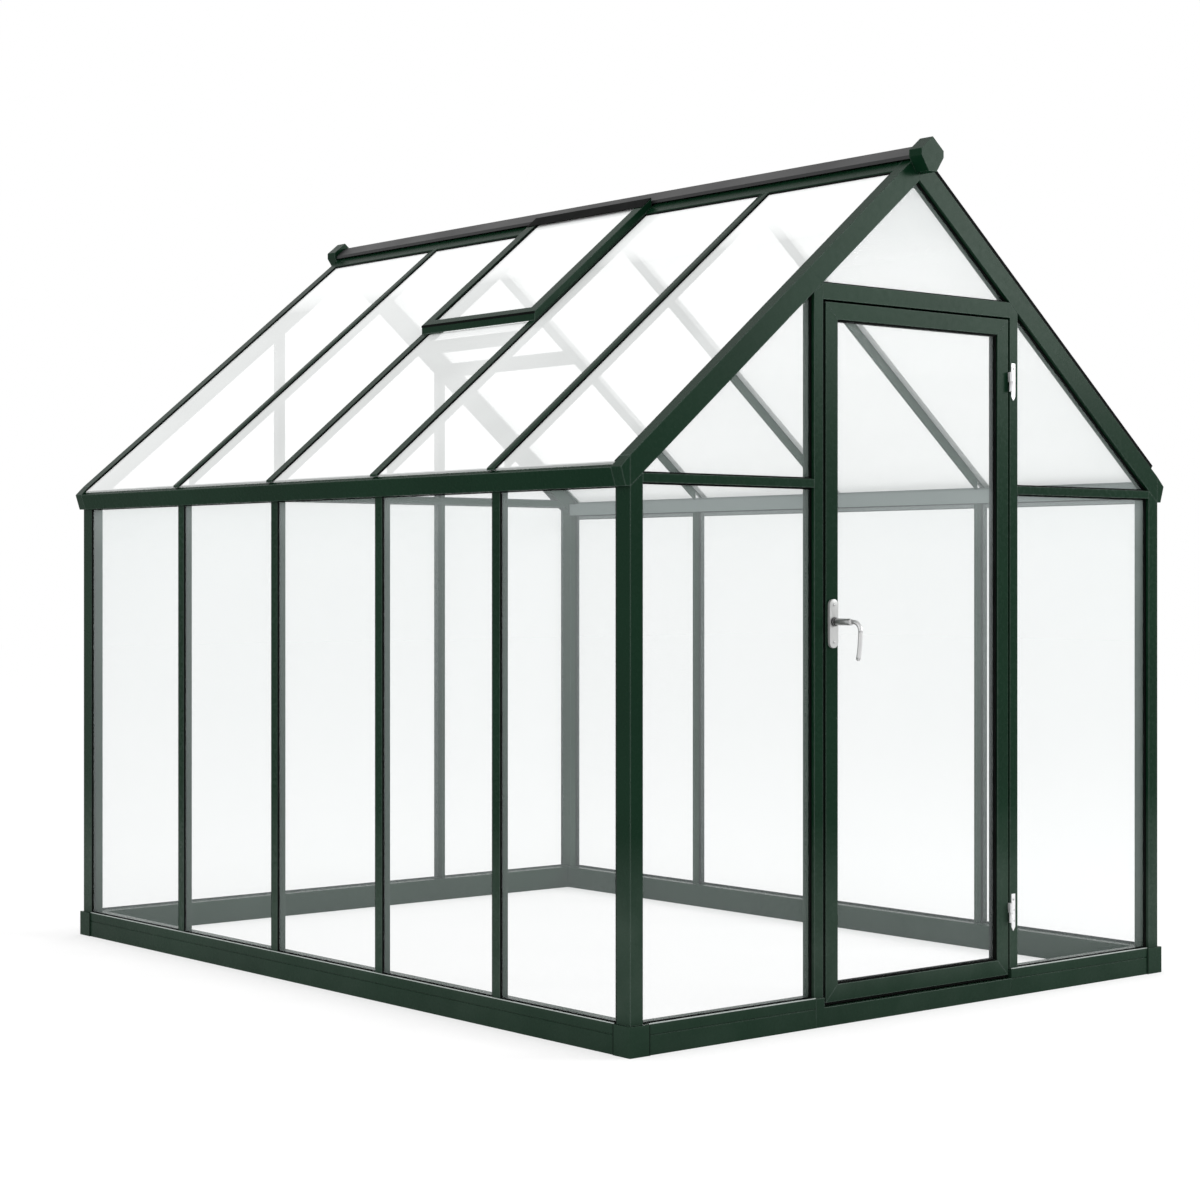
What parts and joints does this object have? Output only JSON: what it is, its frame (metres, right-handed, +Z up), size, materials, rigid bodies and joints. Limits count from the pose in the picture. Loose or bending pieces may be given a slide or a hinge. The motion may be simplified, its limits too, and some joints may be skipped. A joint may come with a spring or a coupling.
{
  "type": "glass greenhouse",
  "caption": "Small walk-in greenhouse with a green metal frame, clear glass panes, a pitched roof with a vent, a low base and a hinged glass door with a lever handle.",
  "frame": {"origin": "on the ground, at the middle of the object's plan box", "axes": "+X to the right when facing the door, +Y along the length from the door to the back gable, +Z up"},
  "size_m": [1.97, 2.6974, 2.1869],
  "materials": {
    "green_paint": "dark green powder coat, satin",
    "dark_plastic": "dark grey, satin",
    "silver_metal": "satin silver",
    "clear_glass": "clear, smooth"
  },
  "bodies": {
    "frame": {"base_front_left": "green_paint", "door_sill": "green_paint", "base_front_right": "green_paint", "base_back": "green_paint", "base_left": "green_paint", "base_right": "green_paint", "base_corners_left": "green_paint", "base_corners_right": "green_paint", "post_front_left": "green_paint", "post_front_right": "green_paint", "post_back_left": "green_paint", "post_back_right": "green_paint", "left_wall_bars": "green_paint", "right_wall_bars": "green_paint", "back_gable_bars": "green_paint", "back_crossbar": "green_paint", "left_eave_rail": "green_paint", "right_eave_rail": "green_paint", "eave_end_caps": "green_paint", "front_left_rafter": "green_paint", "front_right_rafter": "green_paint", "back_left_rafter": "green_paint", "back_right_rafter": "green_paint", "ridge_beam": "green_paint", "ridge_cap": "dark_plastic", "ridge_end_caps": "green_paint", "left_roof_bars": "green_paint", "right_roof_bars": "green_paint", "front_left_crossbar": "green_paint", "front_right_crossbar": "green_paint", "door_jamb_left": "green_paint", "door_jamb_right": "green_paint", "door_lintel": "green_paint", "left_wall_glass": "clear_glass", "right_wall_glass": "clear_glass", "front_left_glass": "clear_glass", "front_right_glass": "clear_glass", "front_gable_glass": "clear_glass", "back_wall_glass": "clear_glass", "left_roof_glass": "clear_glass", "right_roof_glass": "clear_glass", "roof_vent_frame": "green_paint", "roof_vent_glass": "clear_glass", "roof_vent_transom": "green_paint", "right_roof_transom": "green_paint", "jamb_hinges": "silver_metal"},
    "door": {"door_left_stile": "green_paint", "door_right_stile": "green_paint", "door_top_rail": "green_paint", "door_bottom_rail": "green_paint", "door_glass": "clear_glass", "door_hinges": "silver_metal", "handle_plate": "silver_metal"},
    "handle": {"lever_handle": "silver_metal"}
  },
  "joints": [
    {"name": "door_swing", "type": "hinge", "parent": "frame", "child": "door", "pos_m": [0.3395, -1.25625, 0.9], "axis": [0, 0, 1], "range_deg": [0, 150]},
    {"name": "handle_turn", "type": "hinge", "parent": "door", "child": "handle", "pos_m": [-0.3105, -1.25525, 0.979], "axis": [0, -1, 0], "range_deg": [0, 90]}
  ]
}
